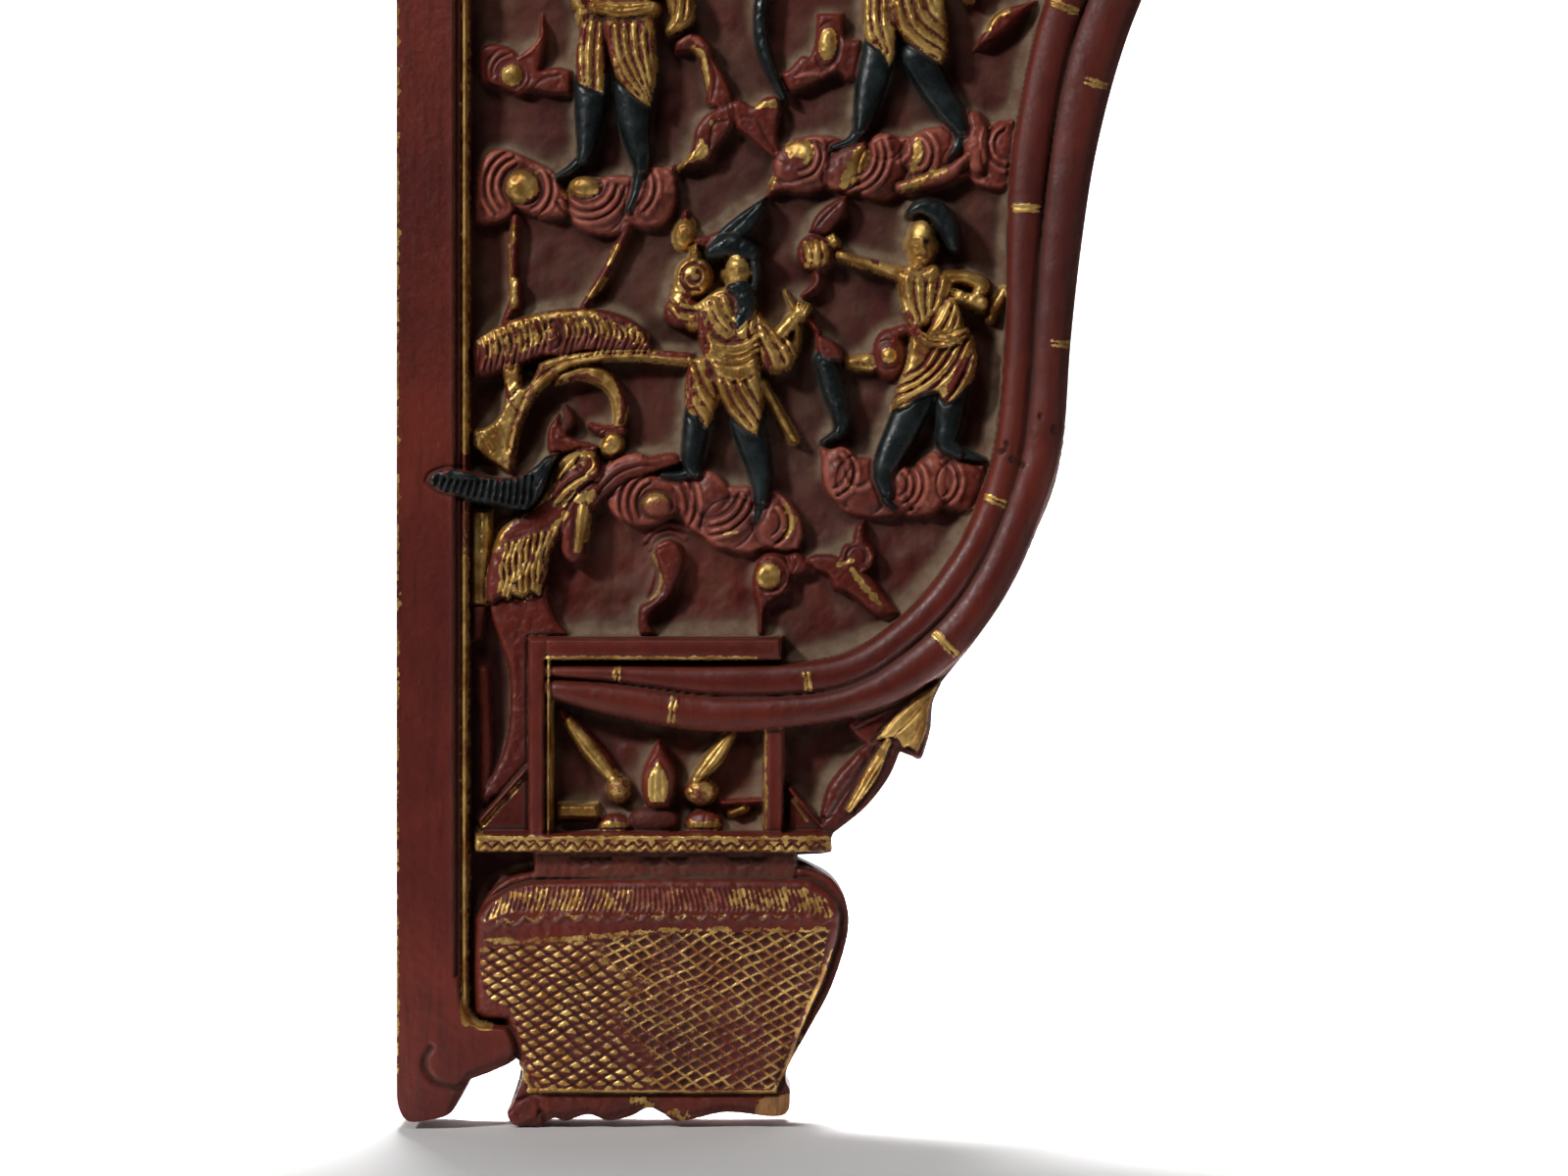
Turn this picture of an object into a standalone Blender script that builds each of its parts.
"""Carved corner bracket: one thick board, cut back to a ground and carved in relief.

The front faces -Y, +Z is up and +X runs away from the post that the bracket is fixed to. The origin is on the
stile's outer side face, halfway up and halfway through the board.
"""
import math

import bmesh
import bpy
from mathutils import Matrix, Vector

# Driving dimensions, metres
BRACKET_HEIGHT = 0.560
BRACKET_REACH = 0.356
BOARD_THICKNESS = 0.040
RELIEF_DEPTH = 0.019
STILE_WIDTH = 0.024
RAIL_HEIGHT = 0.030
FILLET_WIDTH = 0.002
BEAD_RADIUS = 0.0017
BEAD_GAP = 0.0018
WEAVE_DEPTH = 0.0016
WEAVE_PITCH = 0.0072
GROOVE_HALF_WIDTH = 0.0013
NODE_RING = 0.0007

# The drawing sheet that the carving keeps its places on; one of its divisions is a millimetre at full size
SHEET_WIDTH = 356.0
SHEET_HEIGHT = 560.0
SHEET_STILE = 24.0

# Heights of the carving above the ground, as shares of the relief's depth
FULL = 1.0
HIGH = 0.82
MIDDLE = 0.64
LOW = 0.48
FLAT = 0.34
ROD_HEIGHT = 1.03
NODE_HEIGHT = 1.06

# The basket's weave: the rows that it runs between on the sheet, and how its two sets of grooves slope
BASKET_HEIGHT = 0.96
WEAVE_FOOT = 15.0
WEAVE_TOP = 76.0
RISING = 0.56
FALLING = -0.8
GROOVE_SPREAD = 1.6
GROOVE_STARTS = (-150.0, 330.0)
FALLING_DEPTH = 0.8
GROOVE_CLEARANCE = 0.6

GROUND_Y = RELIEF_DEPTH - BOARD_THICKNESS / 2
BURIED = 0.008
SUNK = 0.0004
SPAN_STEPS = 2
FACE_BUDGET = 7300
NEAREST_POINTS = 0.3
END_STEP = 0.6
END_NARROWS = 0.55
WELD = 0.000001
SHARP_ANGLE = 38.0

part = bpy.data.collections.new("carved_corner_bracket")
helpers = bpy.data.collections.new("carving_helpers")
parts_made = []


def clear_scene():
    for old in list(bpy.data.objects):
        bpy.data.objects.remove(old, do_unlink=True)
    bpy.context.scene.collection.children.link(part)
    bpy.context.scene.collection.children.link(helpers)


def sheet_scale():
    return BRACKET_HEIGHT / SHEET_HEIGHT


def spot(x, z):
    """Place on the board of a point of the sheet."""
    across = (x - SHEET_STILE) / (SHEET_WIDTH - SHEET_STILE)
    if across < 0:
        wide = STILE_WIDTH * x / SHEET_STILE
    else:
        wide = STILE_WIDTH + across * (BRACKET_REACH - STILE_WIDTH)
    return Vector((wide, 0.0, z * sheet_scale() - BRACKET_HEIGHT / 2))


def smooth(points, steps=SPAN_STEPS):
    """Points along an even curve that passes through the given ones, with any radius carried along."""
    if len(points) < 3:
        return [tuple(p) for p in points]
    ends = [points[0]] + list(points) + [points[-1]]
    result = []
    for a, b, c, d in zip(ends, ends[1:], ends[2:], ends[3:]):
        for k in range(steps):
            t = k / steps
            result.append(tuple(
                0.5 * (2 * q + (r - p) * t + (2 * p - 5 * q + 4 * r - s) * t * t
                       + (3 * q - p - 3 * r + s) * t ** 3)
                for p, q, r, s in zip(a, b, c, d)))
    result.append(tuple(points[-1]))
    return result


def join_runs(*runs):
    """One outline from runs that are each smooth, with a corner wherever two of them meet."""
    outline = []
    for run in runs:
        for point in smooth(run):
            if not outline or (Vector(point) - Vector(outline[-1])).length > NEAREST_POINTS:
                outline.append(point)
    if (Vector(outline[0]) - Vector(outline[-1])).length < NEAREST_POINTS:
        outline.pop()
    return outline


def mesh_from_curve(curve_object):
    """Closed mesh of a curve, with the caps welded on; the curve goes."""
    bpy.context.view_layer.update()
    evaluated = curve_object.evaluated_get(bpy.context.evaluated_depsgraph_get())
    mesh = bpy.data.meshes.new_from_object(evaluated)
    mesh.transform(curve_object.matrix_world)
    bpy.data.objects.remove(curve_object, do_unlink=True)
    bm = bmesh.new()
    bm.from_mesh(mesh)
    bmesh.ops.remove_doubles(bm, verts=bm.verts, dist=WELD)
    return mesh, bm


def keep(name, mesh, bm, collection=helpers):
    bmesh.ops.recalc_face_normals(bm, faces=bm.faces)
    bm.to_mesh(mesh)
    bm.free()
    made = bpy.data.objects.new(name, mesh)
    collection.objects.link(made)
    if collection is helpers:
        made.hide_render = True
        made.display_type = "WIRE"
    return made


def extruded(name, outline, front, back):
    """Flat closed outline between two depths, standing in the XZ plane."""
    curve = bpy.data.curves.new(name, "CURVE")
    curve.dimensions = "2D"
    curve.fill_mode = "BOTH"
    curve.extrude = (back - front) / 2
    spline = curve.splines.new("POLY")
    spline.points.add(len(outline) - 1)
    for node, point in zip(spline.points, outline):
        node.co = (point.x, point.z, 0.0, 1.0)
    spline.use_cyclic_u = True
    holder = bpy.data.objects.new(name, curve)
    holder.rotation_euler = (math.pi / 2, 0.0, 0.0)
    holder.location = (0.0, (back + front) / 2, 0.0)
    helpers.objects.link(holder)
    return mesh_from_curve(holder)


def plate(name, outline, height, edge=1.2):
    """Raised flat form with a rounded front edge, from a closed outline on the sheet."""
    front = GROUND_Y - height * RELIEF_DEPTH
    mesh, bm = extruded(name, [spot(x, z) for x, z in outline], front, GROUND_Y + BURIED)
    facing = [f for f in bm.faces if abs(f.calc_center_median().y - front) < WELD]
    bmesh.ops.dissolve_faces(bm, faces=facing)
    rim = [e for e in bm.edges if all(abs(v.co.y - front) < WELD for v in e.verts)]
    bmesh.ops.bevel(bm, geom=rim, offset=edge * sheet_scale(), offset_type="OFFSET", segments=1,
                    profile=0.6, affect="EDGES", clamp_overlap=True)
    parts_made.append(keep(name, mesh, bm))


def limb(name, points, height, axis=-0.04, sides=6, rounded=True):
    """Rounded form along a line of (x, z, half width) points; its widest stretch reaches the given height."""
    line = smooth(points)
    if rounded:
        line = round_ends(line)
    curve = bpy.data.curves.new(name, "CURVE")
    curve.dimensions = "3D"
    curve.bevel_depth = sheet_scale()
    curve.bevel_resolution = (sides - 4) // 2
    curve.use_fill_caps = True
    spline = curve.splines.new("POLY")
    spline.points.add(len(line) - 1)
    for node, (x, z, half_width) in zip(spline.points, line):
        place = spot(x, z)
        node.co = (place.x, 0.0, place.z, 1.0)
        node.radius = half_width
    holder = bpy.data.objects.new(name, curve)
    helpers.objects.link(holder)
    mesh, bm = mesh_from_curve(holder)
    widest = max(p[2] for p in points) * sheet_scale()
    stretch = (height - axis) * RELIEF_DEPTH / widest
    centre = GROUND_Y - axis * RELIEF_DEPTH
    for v in bm.verts:
        v.co.y = centre + v.co.y * stretch
    parts_made.append(keep(name, mesh, bm))


def round_ends(line):
    """The same line with a short narrowing step added at both ends."""
    def beyond(end, before):
        run = Vector((end[0] - before[0], end[1] - before[1]))
        if run.length < WELD:
            return end
        run = run.normalized() * end[2] * END_STEP
        return (end[0] + run.x, end[1] + run.y, end[2] * END_NARROWS)
    return [beyond(line[0], line[1])] + line + [beyond(line[-1], line[-2])]


def ball(name, x, z, half_width, half_height, height, around=9, rings=6):
    """Domed form: an egg whose front half stands out of the ground."""
    bm = bmesh.new()
    bmesh.ops.create_uvsphere(bm, u_segments=around, v_segments=rings, radius=1.0)
    scale = sheet_scale()
    facing = Matrix.Rotation(math.pi / 2, 4, "X")
    size = Matrix.Diagonal((half_width * scale, height * RELIEF_DEPTH + SUNK, half_height * scale, 1.0))
    place = spot(x, z)
    place.y = GROUND_Y + SUNK
    bm.transform(Matrix.Translation(place) @ size @ facing)
    parts_made.append(keep(name, bpy.data.meshes.new(name), bm))


def arc(name, x, z, radius, start, end, half_width, height, steps=7):
    """Raised arc of a cloud scroll, around a point of the sheet."""
    points = []
    for k in range(steps):
        angle = math.radians(start + (end - start) * k / (steps - 1))
        points.append((x + radius * math.cos(angle), z + radius * math.sin(angle), half_width))
    limb(name, points, height)


def folds(name, lines, height):
    for k, line in enumerate(lines):
        limb(f"{name}_{k}", line, height, axis=0.1)


# The blank: stile, rail, foot, basket foot, basket, ledge, leaf and the rods' outer line
FOOT_LINE = [(0.0, 18.0), (0.6, 9.0), (4.5, 2.7), (13.0, 3.0), (21.5, 5.5), (26.0, 12.0), (30.0, 19.7)]
FOOT_SCROLL = [(30.0, 19.7), (38.0, 22.5), (45.5, 25.8), (49.3, 27.0)]
APRON_LEFT = [(49.3, 27.0), (49.5, 20.5), (46.0, 9.0), (44.7, 4.8), (47.5, 0.6), (53.0, 0.0)]
APRON_FOOT = [(53.0, 0.0), (58.5, 0.6), (64.0, 3.3), (69.0, 2.2), (78.0, 4.8), (86.0, 2.3), (95.0, 4.0),
              (102.5, 7.5), (108.0, 5.5), (115.5, 2.0), (134.0, 5.7), (153.0, 4.0), (159.5, 6.0),
              (160.6, 14.0)]
BASKET_SIDE = [(160.6, 14.0), (159.0, 22.3), (169.0, 41.0), (177.5, 57.0), (184.0, 78.0), (183.5, 91.0),
               (177.0, 101.5), (163.5, 108.7)]
LEDGE_END = [(163.5, 110.3), (176.5, 111.5), (177.2, 118.0)]
LEAF_LOBES = [(178.0, 119.5), (191.0, 130.0), (200.5, 142.0), (205.5, 153.0)]
LEAF_TIP = [(205.5, 153.0), (210.0, 151.3), (214.2, 150.2), (218.0, 162.0), (219.0, 173.0), (222.5, 181.0)]
ROD_EDGE = [(222.5, 181.0), (233.0, 194.5), (248.0, 216.0), (260.0, 240.0), (271.0, 270.0), (275.0, 320.0),
            (279.5, 360.0), (285.0, 396.0), (294.0, 432.0), (304.0, 460.0), (320.0, 494.0), (345.0, 526.0),
            (356.0, 533.0)]


def rail_underside():
    return SHEET_HEIGHT - RAIL_HEIGHT / sheet_scale()


def make_blank():
    """The board at its full thickness, cut back to the ground wherever there is carving."""
    outline = join_runs(FOOT_LINE, FOOT_SCROLL, APRON_LEFT, APRON_FOOT, BASKET_SIDE, LEDGE_END, LEAF_LOBES,
                        LEAF_TIP, ROD_EDGE)
    corners = [spot(x, z) for x, z in outline]
    corners[-1].z = spot(0, rail_underside()).z + 0.003
    corners += [spot(SHEET_WIDTH, SHEET_HEIGHT), spot(0, SHEET_HEIGHT)]
    mesh, bm = extruded("carved_bracket", corners, -BOARD_THICKNESS / 2, BOARD_THICKNESS / 2)
    blank = keep("carved_bracket", mesh, bm, part)
    top = spot(0, rail_underside()).z
    field = [Vector((x, 0.0, z)) for x, z in (
        (STILE_WIDTH, -BRACKET_HEIGHT), (2 * BRACKET_REACH, -BRACKET_HEIGHT), (2 * BRACKET_REACH, top),
        (STILE_WIDTH, top))]
    mesh, bm = extruded("field_cutter", field, -BOARD_THICKNESS, GROUND_Y)
    cutter = keep("field_cutter", mesh, bm)
    combine(blank, cutter, "DIFFERENCE")
    return blank


def combine(target, other, operation):
    """Boolean with one object or a whole collection whose members may cross each other, applied at once."""
    tool = target.modifiers.new("combine", "BOOLEAN")
    tool.operation = operation
    tool.solver = "MANIFOLD"
    if isinstance(other, bpy.types.Collection):
        tool.operand_type = "COLLECTION"
        tool.collection = other
    else:
        tool.object = other
    apply_modifiers(target)


def apply_modifiers(target):
    bpy.context.view_layer.update()
    result = bpy.data.meshes.new_from_object(target.evaluated_get(bpy.context.evaluated_depsgraph_get()))
    target.modifiers.clear()
    target.data = result


def make_border():
    """Fillet and bead along the stile and under the rail, the foot's scroll and the two bamboo rods."""
    inner = SHEET_STILE + FILLET_WIDTH / sheet_scale()
    top = rail_underside()
    plate("fillet", [(SHEET_STILE - 1, 48), (inner, 48), (inner, top + 1), (SHEET_STILE - 1, top + 1)], 0.78,
          0.3)
    bead = BEAD_RADIUS / sheet_scale()
    line = inner + BEAD_GAP / sheet_scale()
    limb("bead", [(line, top, bead), (line, 300, bead), (line, 60, bead), (line + 0.8, 47, bead),
                  (line + 4.5, 42, bead), (line + 12.5, 40, bead)], 0.88)
    limb("rail_bead", [(line, top - 2, bead), (345, top - 2, bead)], 0.86)
    plate("foot_scroll", [(22, 6.5)] + smooth([(26, 12.5), (30, 20.3), (38, 23), (45.5, 27), (46.6, 34),
                                               (43, 41),
                                              (35, 40.5), (29.5, 45), (27, 52), (25.5, 58)]) + [(22, 60)],
          FULL, 1.5)
    rods()


INNER_ROD = [(60, 186, 3.2), (90, 184.8, 4.2), (130, 182, 6.5), (170, 183.2, 6.8), (190, 188.9, 6.6),
             (208.5, 202.3, 6.2), (222.7, 216.5, 6.5), (235.5, 235.5, 6.2), (245, 257.5, 6), (250.7, 279, 6),
             (253.6, 304.5, 5.9), (255.5, 335, 6.2), (257.1, 375, 7.1), (260, 402, 7.6), (267, 438, 7.8),
             (276, 466, 8), (291, 494, 8), (309, 517, 8), (322, 532, 8)]
OUTER_ROD = [(62, 179, 4.6), (90, 174.4, 6.6), (130, 168.6, 6.9), (170, 170.8, 5.9), (191, 176, 6.4),
             (207.5, 184.6, 7.4), (222.5, 196, 7.8), (235.5, 210.5, 7.4), (246.5, 229.3, 7.2),
             (256.2, 253, 7.3),
             (263, 275, 7.5), (266.3, 300, 7.3), (268.3, 330, 7.4), (271.2, 360, 7.8), (275, 388, 8.6),
             (281.5, 424, 9.4), (290.5, 452, 10.2), (305, 482, 10.4), (322.5, 508, 10.4), (342, 528, 10.4)]
ROD_NODES_INNER = [(89.5, 185), (167, 183), (244.5, 256.5), (257.3, 375.5)]
ROD_NODES_OUTER = [(111, 170.5), (224, 197), (268, 320), (282, 427)]


def rods():
    for name, line in (("inner_rod", INNER_ROD), ("outer_rod", OUTER_ROD)):
        limb(name, [(x, z, r) for x, z, r in line], ROD_HEIGHT, axis=0.2, sides=8)
    for name, line, places in (("inner_node", INNER_ROD, ROD_NODES_INNER),
                               ("outer_node", OUTER_ROD, ROD_NODES_OUTER)):
        way = smooth(line, 12)
        for k, (x, z) in enumerate(places):
            nearest = min(range(1, len(way) - 1), key=lambda i: (way[i][0] - x) ** 2 + (way[i][1] - z) ** 2)
            here = way[nearest]
            ahead = Vector((way[nearest + 1][0] - here[0], way[nearest + 1][1] - here[1])).normalized()
            swell = here[2] + NODE_RING / sheet_scale()
            limb(f"{name}_{k}", [(here[0] - ahead.x * 1.1, here[1] - ahead.y * 1.1, swell),
                                 (here[0] + ahead.x * 1.1, here[1] + ahead.y * 1.1, swell)], NODE_HEIGHT,
                 axis=0.25, rounded=False)


def make_basket():
    """Foot, woven body, neck and the ledge on top of it."""
    plate("apron", join_runs([(49.8, 27), (50, 20.5), (46.7, 9), (45.4, 4.8), (48, 1.4), (53, 0.8)],
                             [(53, 0.8), (58.3, 1.4), (64, 4), (69, 3), (78, 5.6), (86, 3.1), (95, 4.8),
                              (102.5, 8.3), (108, 6.3), (115.5, 2.8), (134, 6.5), (153, 4.8), (158.8, 6.6),
                              (159.8, 14)],
                             [(159.8, 14), (158.3, 22), (50, 25)]), 0.72, 1.5)
    plate("basket_rim", join_runs([(57, 14.5), (49.5, 26), (44, 43)],
                                  [(44, 43), (33, 45), (31.2, 52), (31.2, 80),
                                                                       (34.5, 90)],
                                  [(34.5, 90), (40, 98), (47, 102), (58, 104.5), (160, 105)],
                                  [(160, 105), (170, 104), (177, 100.5), (182.6, 91), (183.2, 78),
                                   (176.8, 57),
                                   (168.4, 41), (158.2, 22.8), (154, 14.5)]), 0.66, 2.5)
    plate("basket_body", join_runs([(57, 17), (51, 27), (45, 44)],
                                   [(45, 44), (34.5, 46.5), (33, 53), (33, 84)],
                                   [(33, 84), (38.5, 91.5), (46, 96.5), (56, 99.5)],
                                   [(56, 99.5), (110, 101), (161, 100.4), (173, 97), (179.3, 88), (179.5, 75),
                                    (173.5, 59), (166, 42), (152.5, 17)]), BASKET_HEIGHT, 3.2)
    plate("basket_neck", [(55, 99), (163, 99), (163, 111), (55, 111)], 0.7, 0.8)
    plate("ledge", [(32.4, 112), (176.4, 112), (176.4, 119.6), (32.4, 119.6)], 1.04, 1.0)
    plate("scallop_band", join_runs([(34, 76), (70, 77), (120, 81), (177, 80)],
                                    [(177, 80), (178, 84), (176, 88.2)],
                                    [(176, 88.2), (110, 88.5), (37, 84)]),
          1.0, 0.6)


def on_weave(x, z):
    """Whether a point of the sheet lies on the woven face, between its slanting sides."""
    left = 34.5 if z > 46.0 else 48.0 + (46.0 - z) * 0.33
    right = 178.0 - max(0.0, 76.0 - z) * 0.36
    return left < x < right and WEAVE_FOOT <= z <= WEAVE_TOP


def groove_ends(x, slope):
    """Both ends of the sloping groove that starts at this x on the weave's foot line, if it meets the weave."""
    line = [(x + (z - WEAVE_FOOT) / slope, z) for z in range(int(WEAVE_FOOT), int(WEAVE_TOP) + 1)]
    inside = [point for point in line if on_weave(*point)]
    return (inside[0], inside[-1]) if len(inside) > 3 else None


def weave_cutters():
    """Two sets of crossing grooves that leave a lozenge between them."""
    grooves = bpy.data.collections.new("weave_grooves")
    helpers.children.link(grooves)
    pitch = WEAVE_PITCH * GROOVE_SPREAD / sheet_scale()
    for slope, depth in ((RISING, WEAVE_DEPTH), (FALLING, FALLING_DEPTH * WEAVE_DEPTH)):
        x, last = GROOVE_STARTS
        while x < last:
            ends = groove_ends(x, slope)
            x += pitch
            if ends:
                groove = groove_prism(spot(*ends[0]), spot(*ends[1]), depth)
                helpers.objects.unlink(groove)
                grooves.objects.link(groove)
    return grooves


def groove_prism(start, end, depth):
    """Three-sided cutter with its sharp edge in the wood; its flat side clears the front of the basket."""
    front = GROUND_Y - BASKET_HEIGHT * RELIEF_DEPTH
    clear = GROOVE_CLEARANCE * depth
    bm = bmesh.new()
    run = end - start
    bmesh.ops.create_cone(bm, cap_ends=True, segments=3, radius1=1.0, radius2=1.0, depth=run.length)
    along = run.normalized()
    inward = Vector((0.0, 1.0, 0.0))
    side = inward.cross(along)
    # The cone's first corner lies at +Y of its own frame, and here points into the wood
    turn = Matrix((side, inward, along)).transposed().to_4x4()
    size = Matrix.Diagonal((GROOVE_HALF_WIDTH / math.cos(math.radians(30)), (depth + clear) / 1.5, 1.0, 1.0))
    middle = (start + end) / 2
    middle.y = front + depth - (depth + clear) / 1.5
    bm.transform(Matrix.Translation(middle) @ turn @ size)
    return keep("weave_groove", bpy.data.meshes.new("weave_groove"), bm)


def make_stand():
    """Frame of the small stand, its braces, and the leaf sprig at the rods' low end."""
    plate("left_post", [(53.5, 119), (62.3, 119), (62.3, 198), (53.5, 198)], 0.72, 0.9)
    plate("right_post", [(149.6, 119), (158, 119), (158, 166), (149.6, 166)], 0.72, 0.9)
    plate("stand_rail", [(54, 190.8), (157, 190.8), (157, 199.5), (54, 199.5)], 0.9, 0.9)
    plate("left_brace", [(33, 119), (33, 124), (54, 147.5), (54, 119)], LOW, 0.8)
    plate("right_brace", [(157, 119), (157, 139), (161, 137), (175, 119.5)], LOW, 0.8)
    limb("left_leaf", [(70, 165, 2.4), (78, 154, 3.4), (87, 142, 2.8)], MIDDLE)
    limb("left_sheath", [(67, 169, 1.4), (75, 161, 2.6), (85, 149, 2.2)], LOW)
    ball("left_bulb", 90, 137.5, 4.6, 5.2, MIDDLE)
    limb("right_leaf", [(135, 158.5, 2.2), (129, 150, 3), (122, 142, 2.6)], MIDDLE)
    ball("right_bulb", 123.5, 136.5, 6.6, 5.6, MIDDLE)
    limb("bud", [(106.5, 156, 1.2), (106.5, 148, 3.6), (106.5, 138, 6), (106.5, 131, 4)], 0.72)
    ball("mound", 104.5, 124.5, 10.5, 6.6, MIDDLE)
    ball("petal_left", 88.5, 124, 7, 3.8, LOW)
    ball("petal_right", 125, 125, 8, 4.2, LOW)
    plate("bar_left", [(66.5, 126), (83, 126), (83, 131), (66.5, 131)], LOW, 0.8)
    plate("bar_right", [(132, 125), (148, 125), (148, 133), (132, 133)], LOW, 0.8)
    plate("leaf", join_runs([(220.8, 181.5), (217.8, 172), (217, 162), (213.8, 151.8)],
                            [(213.8, 151.8), (209.5, 152.5), (205, 154), (195, 156.5)],
                            [(195, 156.5), (204, 167), (213, 177), (220.8, 181.5)]), MIDDLE, 1.2)
    plate("leaf_low", join_runs([(178, 120.5), (190.5, 131), (199.5, 142), (204, 153)],
                                [(204, 153), (199, 156), (196, 155)],
                                [(196, 155), (190, 148), (183, 136), (175, 120.5)]), 0.5, 1.2)
    limb("leaf_rib", [(179, 124, 1), (187, 134, 2.2), (199, 153, 2)], MIDDLE, axis=0.3)
    limb("leaf_lobe", [(175, 128, 1.4), (181, 138, 3), (190, 150, 2)], LOW)
    plate("leaf_crown", join_runs([(183, 159), (186, 168.5), (198, 172), (216, 177)],
                                  [(216, 177), (207, 169), (195, 157.5)],
                                  [(195, 157.5), (189, 157), (183, 159)]),
          LOW, 1.2)


def figure_with_whisk():
    """Bearded figure, lower left: whisk in the right hand, the left sleeve thrown up."""
    ball("whisk_torso", 134.5, 328, 12.5, 14, HIGH)
    limb("whisk_sash", [(126, 315, 3), (136, 313.5, 3.6), (147, 317, 3)], 0.86)
    limb("whisk_apron", [(134, 312, 7), (139, 304, 8), (146, 306, 4)], 0.76)
    limb("whisk_skirt_left", [(124, 312, 5), (123.5, 300, 5.6), (127, 288, 3.6)], MIDDLE)
    limb("whisk_skirt", [(139, 310, 8), (142, 297, 8), (147, 284, 4)], 0.74)
    folds("whisk_fold", [[(134, 300, 1), (138, 291, 1.3), (143, 283, 1)],
                         [(143, 300, 1), (146, 290, 1.3), (149, 281, 1)],
                         [(121, 306, 1), (121, 295, 1.2), (126, 287, 1)]], 0.8)
    limb("whisk_sleeve", [(146, 329, 5), (153, 322, 6.2), (156, 314, 5)], 0.8)
    limb("whisk_forearm", [(155, 321, 3), (161, 329, 2.8), (165, 334, 2.2)], HIGH)
    ball("whisk_hand", 165.5, 332.5, 3.8, 4.2, 0.74)
    limb("whisk_finger", [(163, 335, 1.4), (158.5, 341, 0.9)], MIDDLE)
    ball("whisk_shoulder", 117, 333, 6.5, 6.5, 0.72)
    limb("whisk_cuff", [(113, 342, 3), (114, 351, 3.8), (120, 356, 3.8), (126, 354, 2.8)], MIDDLE)
    limb("whisk_arm", [(121, 331, 4.5), (116, 340, 4), (118, 348, 3.6)], MIDDLE)
    ball("whisk_gem", 117, 366, 4.2, 6.4, MIDDLE)
    limb("whisk_hat", [(130, 356, 3.4), (137, 360, 4.6), (144, 356.5, 3.2)], 0.86)
    limb("whisk_blade", [(127, 360.5, 1.6), (135, 367, 2.4), (149.5, 380, 0.9)], MIDDLE)
    ball("whisk_head", 139, 349, 5.4, 8.8, 0.92)
    limb("whisk_nose", [(139, 350.5, 0.8), (139, 347.2, 1.3)], 1.0, axis=0.6)
    limb("whisk_beard", [(139.5, 342.5, 4), (142, 334, 4), (138.5, 328, 1.8)], 0.93)
    ball("whisk_grip", 175, 319, 4.6, 4.2, MIDDLE)
    limb("whisk_hair", [(176, 317, 5.4), (178.5, 303, 5), (181, 291, 3.8), (177, 281, 1.4)], 0.58)
    limb("whisk_tassel", [(162.5, 331, 1.2), (162.5, 321, 2.2)], MIDDLE)
    limb("whisk_staff", [(149, 304, 1.8), (162, 281, 1.7)], MIDDLE)
    limb("whisk_leg_left", [(123, 291, 5.6), (121, 279, 4.2), (119.5, 269, 3.2), (109, 266, 1.8)], 0.58)
    limb("whisk_leg_right", [(143, 287, 6), (148.5, 272, 4.4), (149, 259, 3), (146, 249, 2)], MIDDLE)


def figure_with_fan():
    """Figure at the lower right, one arm held out to a scroll."""
    ball("fan_torso", 214, 338, 10.5, 12, HIGH)
    ball("fan_head", 214.5, 361, 5.6, 9.6, 0.92)
    limb("fan_nose", [(214.5, 362.5, 0.8), (214.5, 359.2, 1.3)], 1.0, axis=0.6)
    limb("fan_hat", [(212, 375, 3), (220, 373.5, 4.6), (226.5, 363, 3.6)], HIGH)
    limb("fan_arm_left", [(208, 346, 5), (196, 352.5, 4), (184, 356, 3.2), (177, 362, 4)], 0.74)
    ball("fan_scroll", 171, 357.5, 7.2, 8, MIDDLE)
    limb("fan_scroll_tail", [(170, 351, 2), (170.5, 344, 1.8), (166, 340, 1)], LOW)
    limb("fan_leaf", [(170, 366, 2.4), (176, 372, 3.8), (183, 380, 1)], LOW)
    limb("fan_arm_right", [(221, 345, 5), (231, 348, 4.8), (238, 344.5, 4), (233, 339.5, 3.4)], 0.72)
    limb("fan_sleeve_tail", [(243, 331, 1.5), (247.5, 341, 2)], LOW)
    limb("fan_belly", [(214, 325, 5), (224, 331, 5.4)], 0.84)
    limb("fan_sash", [(205.5, 323, 2.4), (220, 321.5, 2.8), (234, 322.5, 2)], 0.9)
    limb("fan_skirt", [(222, 317, 11), (216.5, 305, 11), (208, 295.5, 6)], 0.72)
    limb("fan_skirt_right", [(230, 318, 5), (231.5, 306, 5.4), (230, 298, 3.6)], MIDDLE)
    folds("fan_fold", [[(213, 318, 1), (208, 305, 1.3), (203, 296, 1)],
                       [(219, 318, 1), (215, 305, 1.4), (208, 293, 1)],
                       [(225, 317, 1), (221, 306, 1.3), (214, 296, 1)]], 0.8)
    limb("fan_leg_left", [(212, 297, 6.4), (206, 284, 6), (200, 271, 5), (199, 262, 3.2), (203, 254, 1.8)],
         0.6)
    limb("fan_leg_right", [(226.5, 298, 6.4), (226, 286, 4.6), (227, 277, 3.4), (238, 272.6, 2.2)], 0.58)
    ball("fan_ball", 201, 316, 6.4, 10, MIDDLE)
    limb("fan_ball_tail", [(195, 313, 3.6), (186, 313, 2.8)], LOW)


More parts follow.
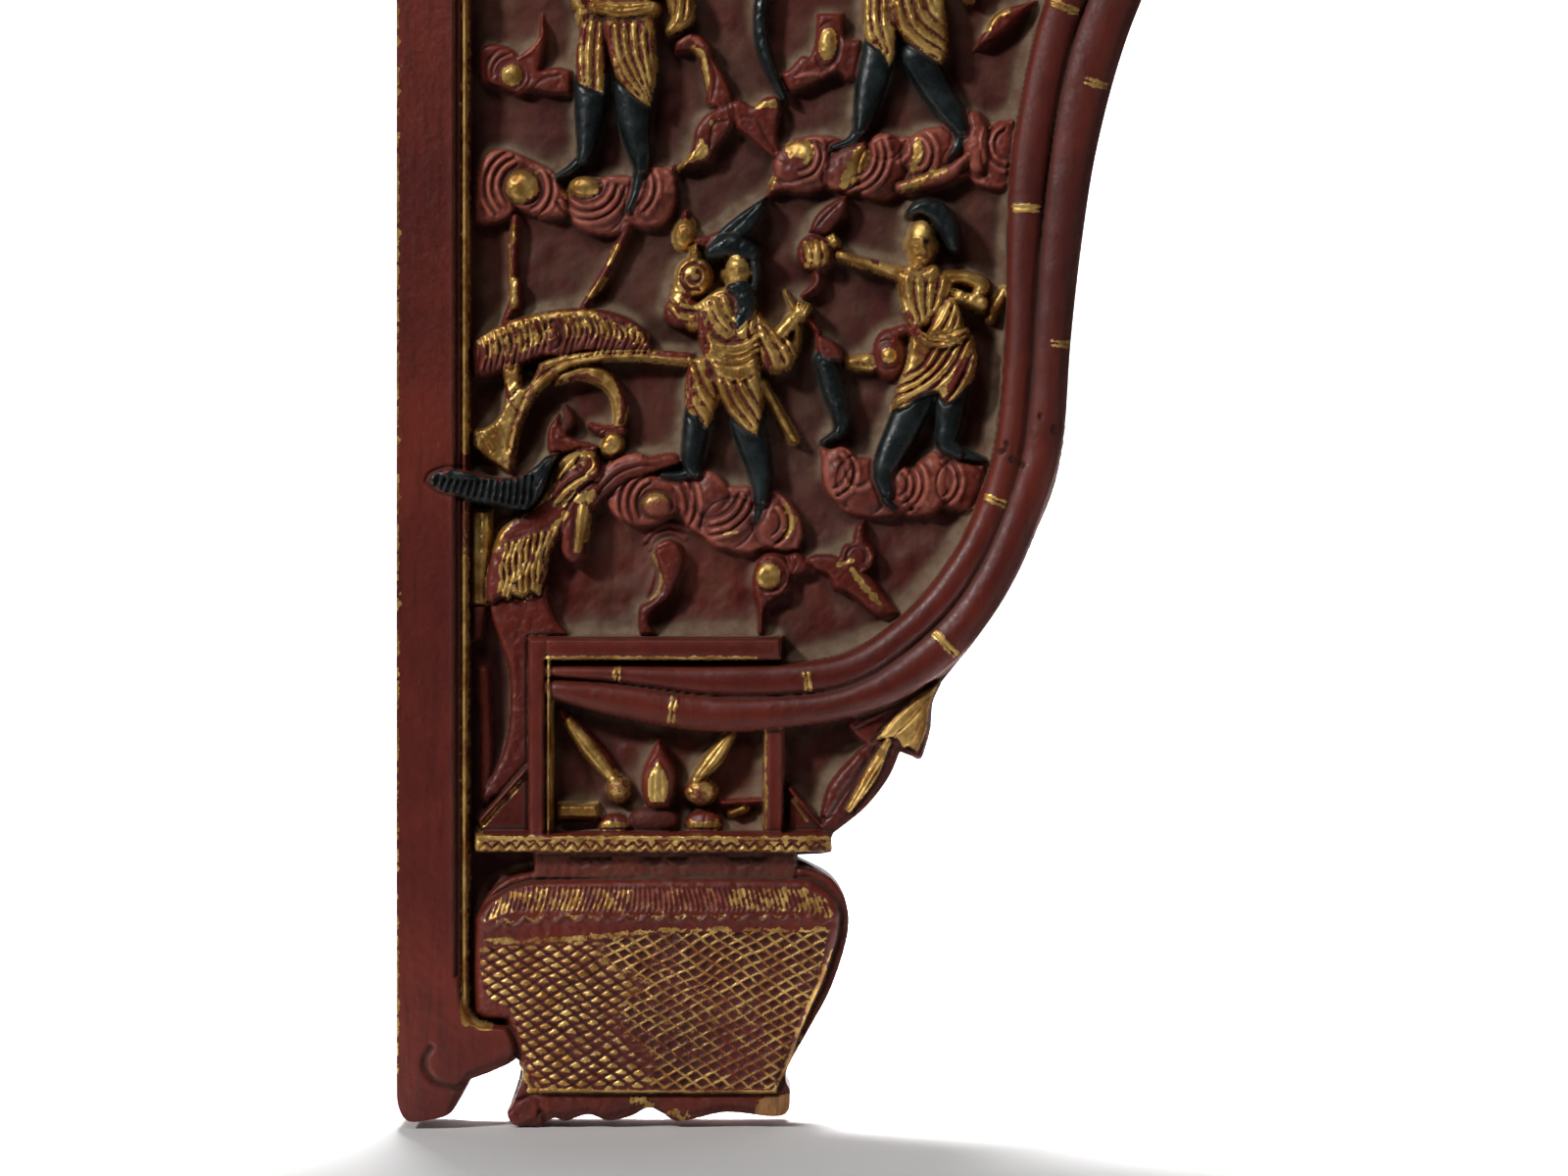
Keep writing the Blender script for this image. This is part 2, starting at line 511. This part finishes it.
def figure_striding():
    """Upper left figure. What the photograph cuts off, from the sash up, is kept plain."""
    limb("stride_leg_left", [(79, 426, 6.4), (77.5, 411, 4.6), (76, 398, 2.6), (65, 389, 1.8)], 0.6)
    limb("stride_leg_right", [(96, 422, 7.4), (96, 406, 4.6), (99, 393, 3), (94, 376, 1.9)], MIDDLE)
    limb("stride_skirt_left", [(80.2, 452, 5), (77.7, 438, 5.4), (78.2, 428, 4)], MIDDLE)
    limb("stride_skirt", [(93, 452, 9.4), (95, 435, 9), (98, 422, 4)], 0.74)
    folds("stride_fold", [[(87, 450, 1), (88.5, 438, 1.3), (94, 424, 1)],
                          [(94, 450, 1), (97, 437, 1.3), (100, 423, 1)],
                          [(75.5, 449, 1), (76, 438, 1.2), (79, 427, 1)]], 0.8)
    limb("stride_sleeve", [(112, 466, 4.6), (116, 457, 5.4), (111, 449, 2)], 0.74)
    limb("stride_sash", [(82, 457.5, 3), (92, 457, 3.6), (103, 457.5, 3)], 0.84)
    ball("stride_torso", 92.5, 470, 11.5, 13, HIGH)
    limb("stride_arm_right", [(102, 477, 4.6), (110, 471, 4.6), (115, 460, 4.6)], 0.74)
    limb("stride_arm_left", [(84, 477, 4.6), (75, 468, 4.4), (76, 458, 3.6)], 0.72)
    ball("stride_head", 93, 491, 5.5, 8.6, 0.92)
    limb("stride_nose", [(93, 492.5, 0.8), (93, 489.2, 1.3)], 1.0, axis=0.6)
    limb("stride_hat", [(87.5, 498, 2.6), (93, 501.5, 4.2), (98.5, 498, 2.6)], HIGH)


def figure_kicking():
    """Upper right figure, completed above the skirt in the same plain way."""
    limb("kick_leg_left", [(198, 441, 6.4), (193, 425, 5), (191, 413, 3.8), (189, 405.5, 2.4),
                           (179, 401, 1.7)], 0.6)
    limb("kick_leg_right", [(213, 436, 6.4), (221.5, 421, 5), (228, 412.5, 4.4), (231, 406, 3),
                            (226.5, 397, 1.9)],
         MIDDLE)
    limb("kick_skirt_left", [(197, 460, 6.6), (195.5, 448, 5.4), (200, 437.5, 3)], MIDDLE)
    limb("kick_skirt", [(210, 462, 9.4), (212, 449, 9), (218.5, 440, 4.4)], 0.74)
    folds("kick_fold", [[(205, 461, 1), (206, 449, 1.3), (212, 438, 1)],
                        [(212, 461, 1), (214, 449, 1.3), (219, 438, 1)]],
          0.8)
    limb("kick_sash", [(197, 466.5, 3), (208, 465.5, 3.6), (219, 466.5, 3)], 0.84)
    ball("kick_torso", 208, 481, 12, 14, HIGH)
    limb("kick_arm_left", [(199, 488, 4.6), (188, 481, 4.4), (179, 486, 3.4)], 0.72)
    limb("kick_arm_right", [(217, 488, 4.6), (228.5, 480, 4.4), (232, 468, 3.8)], 0.74)
    ball("kick_head", 208, 503.5, 5.5, 8.6, 0.92)
    limb("kick_nose", [(208, 505, 0.8), (208, 501.7, 1.3)], 1.0, axis=0.6)
    limb("kick_hat", [(202.5, 510.5, 2.6), (208, 514, 4.2), (213.5, 510.5, 2.6)], HIGH)
    limb("ribbon", [(160, 490, 2), (152, 478, 3), (149, 462, 3), (148, 448, 3), (151, 435, 2.6),
                    (158, 421, 1.1)],
         LOW)


def make_clouds():
    """Banks of scrolled cloud under each figure, and a few in the top corner that the photo doesn't show."""
    plate("bank_left", join_runs([(32, 373), (32.5, 386), (35, 396), (41, 399.5), (52, 396.5), (63, 391),
                                  (71, 382),
                                  (69, 374), (60, 373.2), (52, 375), (42, 372)],
                                 [(42, 372), (36, 371), (32, 373)]),
          FLAT, 1.4)
    ball("bank_left_eye", 50, 384.5, 6.6, 6.8, 0.66)
    arc("bank_left_ring", 50, 384.5, 11.5, 20, 250, 2.2, 0.5, steps=9)
    ball("bank_left_gem", 76, 384.5, 6, 4.6, 0.6)
    ball("bank_left_lobe", 80.5, 376, 9.6, 8, 0.44)
    arc("bank_left_arc", 80.5, 379, 9, 190, 330, 1.6, 0.52)
    ball("bank_left_puff", 103, 381, 9.6, 11, 0.46)
    arc("bank_left_puff_arc", 103, 382, 7, 200, 400, 1.5, 0.54)
    plate("bank_right", join_runs([(151, 382), (160, 384.5), (176, 386), (198, 382), (222, 387), (251, 387)],
                                  [(251, 387), (251, 411)],
                                  [(251, 411), (237, 413), (220, 407), (205, 404), (192, 406), (168, 404.5),
                                   (158, 401), (151, 382)]), FLAT, 1.4)
    plate("bank_low", join_runs([(88, 249), (104, 248), (118, 249), (137, 236), (150, 237.5), (163, 237.5)],
                                [(163, 237.5), (163.5, 246), (157, 256), (134, 262), (120, 263), (96, 259),
                                 (88, 249)]), FLAT, 1.4)
    plate("bank_foot", join_runs([(175.5, 272), (176, 262), (179, 256), (192, 250.5), (212, 251),
                                  (232, 253.5),
                                  (238.5, 254)], [(238.5, 254), (239, 269)],
                                 [(239, 269), (226, 271.5), (205, 271), (190, 273), (175.5, 272)]), FLAT, 1.4)
    for name, x, z, wide, tall, gem_x, gem_z in (
            ("bank_right_a", 161.5, 393, 11, 11.5, 163.5, 399.5),
                                                 ("bank_right_b", 184, 395, 13, 11.5, 187, 392),
            ("bank_right_c", 205, 395, 11.5, 10.8, 211.5, 398),
                                                 ("bank_right_d", 222.5, 399, 12, 12, 216, 388),
            ("bank_right_e", 241, 399, 11, 13, 239, 393)):
        ball(name, x, z, wide, tall, 0.48)
        arc(f"{name}_arc", x, z, min(wide, tall) * 0.74, 200, 420, 1.6, 0.56)
        ball(f"{name}_gem", gem_x, gem_z, 4.6, 3.4, 0.62, around=8, rings=4)
    ball("bank_low_eye", 104, 255, 6.4, 6.6, 0.62)
    ball("bank_low_left", 94, 253, 8.6, 6.6, 0.44)
    ball("bank_low_middle", 126, 260, 8.4, 7, 0.46)
    ball("bank_low_right", 143, 246, 20, 11, 0.48)
    arc("bank_low_arc", 148, 247, 9, 200, 400, 1.6, 0.56)
    arc("bank_low_arc_left", 128, 251, 7, 150, 300, 1.5, 0.54)
    for k, (x, z, wide, tall) in enumerate(((185, 262, 10.2, 12), (200, 261.5, 10, 11.6),
                                            (214.5, 262, 10, 11.4),
                                            (229.5, 261.5, 10, 10))):
        ball(f"bank_foot_{k}", x, z, wide, tall, 0.48)
        arc(f"bank_foot_arc_{k}", x, z + 1, tall * 0.68, 190, 350, 1.5, 0.56)
    for k, (x, z, wide, tall) in enumerate(((52, 498, 12, 8), (64, 505, 11, 8), (130, 503, 12, 8),
                                            (143, 509, 12, 8),
                                            (250, 500, 12, 8), (262, 507, 12, 8))):
        ball(f"bank_top_{k}", x, z, wide, tall, 0.44)
    for k, (x, z) in enumerate(((58, 499), (137, 504), (256, 501))):
        arc(f"bank_top_arc_{k}", x, z, 7, -20, 220, 1.6, 0.54)


def make_wisps():
    """Small comma clouds scattered over the ground."""
    ball("wisp_a_eye", 47, 430, 5.4, 5.6, 0.52)
    wisps = (
        ("wisp_a_fin", [(35, 442, 1), (41, 439.5, 3.4), (46, 431, 4.6)], FLAT),
        ("wisp_a_tail", [(49, 434, 2.8), (54, 442, 2.8), (58, 455, 1)], FLAT),
        ("wisp_a_side", [(51, 429, 3), (61, 426, 2.8), (70, 433, 1)], FLAT),
        ("wisp_b", [(114, 441, 1), (121, 444.5, 2.4), (128, 439, 3), (130.5, 430, 2.8), (131, 421, 1)], 0.42),
        ("wisp_c", [(135, 414, 1), (127, 410, 2.4), (122.5, 402, 3.6), (118.5, 396, 3), (114, 391, 1)], 0.42),
        ("wisp_d", [(138, 419, 1), (147, 419, 2.4), (154, 417, 2.6), (152, 408, 3.4), (156, 400, 1.4)], 0.42),
        ("wisp_d_root", [(152, 411, 3), (146, 404, 3), (142, 408, 1.4)], FLAT),
        ("wisp_e_left", [(173, 441, 2.6), (165, 432, 3.4), (157, 425, 1)], FLAT),
        ("wisp_e_right", [(178, 438, 2.8), (184, 431, 2.8), (190, 438, 1)], FLAT),
        ("wisp_f", [(238, 444, 1.4), (248, 452, 4), (260, 458, 2.6)], 0.42),
        ("wisp_g_tail", [(106, 231, 5), (100, 218, 3.4), (104, 202, 1)], 0.42),
        ("wisp_h_side", [(155, 223, 3), (163, 228.5, 2.6), (168, 234, 1)], FLAT),
        ("wisp_h_stem", [(150, 220, 3), (149, 209, 2.2), (147, 201, 1)], FLAT),
        ("wisp_k_side", [(167, 232, 1), (174, 227.5, 2.8), (181, 227, 3)], FLAT),
        ("wisp_k_stem", [(188.5, 238, 2.6), (191, 246, 1.1)], FLAT),
        ("wisp_k_tail", [(188, 225, 3.6), (196, 218, 3.4), (205, 209.5, 1)], 0.42),
    )
    for name, line, height in wisps:
        limb(name, line, height)
    ball("wisp_e_gem", 176, 443, 3.8, 6.8, 0.56)
    ball("wisp_g_head", 109, 234, 7, 6.6, 0.52)
    ball("wisp_h_eye", 151, 225, 7.4, 7.4, 0.54)
    ball("wisp_k_knot", 188, 232, 7.8, 7.6, 0.52)


def make_tree():
    """Clipped canopy on a crooked trunk, with two poles through it."""
    plate("canopy", join_runs([(31.5, 308), (31.5, 319.5), (38, 324.5), (52, 329.8), (68, 333), (85, 332.4),
                               (97, 328.5), (102.5, 321), (103.5, 318)],
                              [(103.5, 318), (85, 317.8), (68, 315.5), (52, 313.8), (40, 310), (31.5, 308)]),
          0.56, 2.2)
    limb("canopy_crest", [(34, 319, 2.6), (52, 325.5, 3.2), (68, 328.5, 3.4), (86, 327.8, 3),
                          (100, 322, 1.6)], 0.62,
         axis=0.3)
    ball("medallion", 63, 323, 3.4, 4.4, 0.7, around=8, rings=4)
    limb("branch", [(120, 313.6, 2), (103, 312.4, 2.4), (80, 311.4, 2.8), (63, 306, 4.2), (53, 298, 5.4),
                    (44, 288, 7.4), (39.5, 274, 8)], 0.6)
    ball("stub", 47, 307.5, 3.8, 5.2, LOW, around=8, rings=4)
    limb("hook_branch", [(73, 308, 2), (84, 306, 3), (89.8, 299, 2.8), (90, 291, 2.4), (88, 286, 1.2)], LOW)
    limb("pole_left", [(47, 371, 1.5), (47, 336, 1.7)], FLAT)
    limb("pole_left_stub", [(47, 337, 1.4), (43.5, 329, 1.2)], FLAT)
    limb("pole_right", [(93.5, 366, 1.5), (74, 334, 1.7)], FLAT)


def make_beast():
    """Animal at the left edge; its dark mane runs out over the stile's face."""
    limb("beast_neck", [(73, 266, 7.4), (67.5, 254, 11), (59.5, 243, 14), (50, 229, 14), (47, 217, 10.6)],
         0.66)
    limb("beast_body", [(50, 212, 12.4), (52, 197, 9.6), (50, 181, 5), (46, 165, 3.4), (43, 149, 2)], LOW)
    limb("beast_cane", [(36.6, 187, 2.3), (36.6, 136, 2.3)], FLAT)
    ball("beast_head", 74.5, 269, 8, 7.6, 0.78)
    limb("beast_fin", [(62, 275, 2), (70, 281, 4), (80, 290, 1.6)], LOW)
    limb("beast_ear", [(66.5, 283, 1.8), (70, 291.5, 1.4)], 0.54)
    ball("beast_gem", 86.5, 278.5, 4.6, 4.8, MIDDLE, around=8, rings=4)
    limb("beast_wave", [(77.5, 282, 2.4), (85, 286.5, 2.4), (91, 281, 1)], FLAT)
    limb("beast_crescent", [(81.5, 261.5, 2.6), (90, 270.5, 4), (103, 273, 3), (115, 273, 1.2)], LOW)
    limb("mane", [(12, 262.5, 1), (21, 264, 3.8), (33, 261, 4.8), (45, 258.5, 5.6), (55, 262, 5),
                  (63.5, 272, 1.6)],
         1.1, axis=0.62)
    limb("mane_root", [(32, 260, 4), (45, 258, 5), (56, 263, 4.4)], 0.7)
    folds("beard_lock", [[(60, 240, 1.6), (52, 230, 2), (47, 217, 1)],
                         [(65, 236, 1.4), (58, 227, 1.8), (54, 217, 1)],
                         [(54, 244, 1.6), (45, 233, 1.8), (41, 218, 1)]], 0.76)


def material():
    lacquer = bpy.data.materials.new("red_lacquer")
    lacquer.use_nodes = True
    shader = lacquer.node_tree.nodes["Principled BSDF"]
    shader.inputs["Base Color"].default_value = (0.155, 0.023, 0.016, 1.0)
    shader.inputs["Roughness"].default_value = 0.42
    shader.inputs["Metallic"].default_value = 0.0
    return lacquer


def lighten(target):
    """Merges the slivers that the union leaves, down to the number of faces that the carving needs."""
    triangles = sum(len(face.vertices) - 2 for face in target.data.polygons)
    fewer = target.modifiers.new("lighten", "DECIMATE")
    fewer.ratio = min(1.0, FACE_BUDGET / triangles)
    fewer.use_collapse_triangulate = True
    apply_modifiers(target)
    drop_flaps(target)


def drop_flaps(target):
    """Takes away any face that merging has left standing on one edge, folded off the surface."""
    bm = bmesh.new()
    bm.from_mesh(target.data)
    flaps = [face for face in bm.faces if any(len(edge.link_faces) == 1 for edge in face.edges)]
    bmesh.ops.delete(bm, geom=flaps, context="FACES")
    bm.to_mesh(target.data)
    bm.free()


def main():
    clear_scene()
    bracket = make_blank()
    make_border()
    make_basket()
    make_stand()
    figure_with_whisk()
    figure_with_fan()
    figure_striding()
    figure_kicking()
    make_clouds()
    make_wisps()
    make_tree()
    make_beast()
    carving = bpy.data.collections.new("relief")
    for made in parts_made:
        helpers.objects.unlink(made)
        carving.objects.link(made)
    helpers.children.link(carving)
    combine(bracket, carving, "UNION")
    lighten(bracket)
    combine(bracket, weave_cutters(), "DIFFERENCE")
    bracket.data.shade_smooth()
    bracket.data.set_sharp_from_angle(angle=math.radians(SHARP_ANGLE))
    bracket.data.materials.clear()
    bracket.data.materials.append(material())


main()
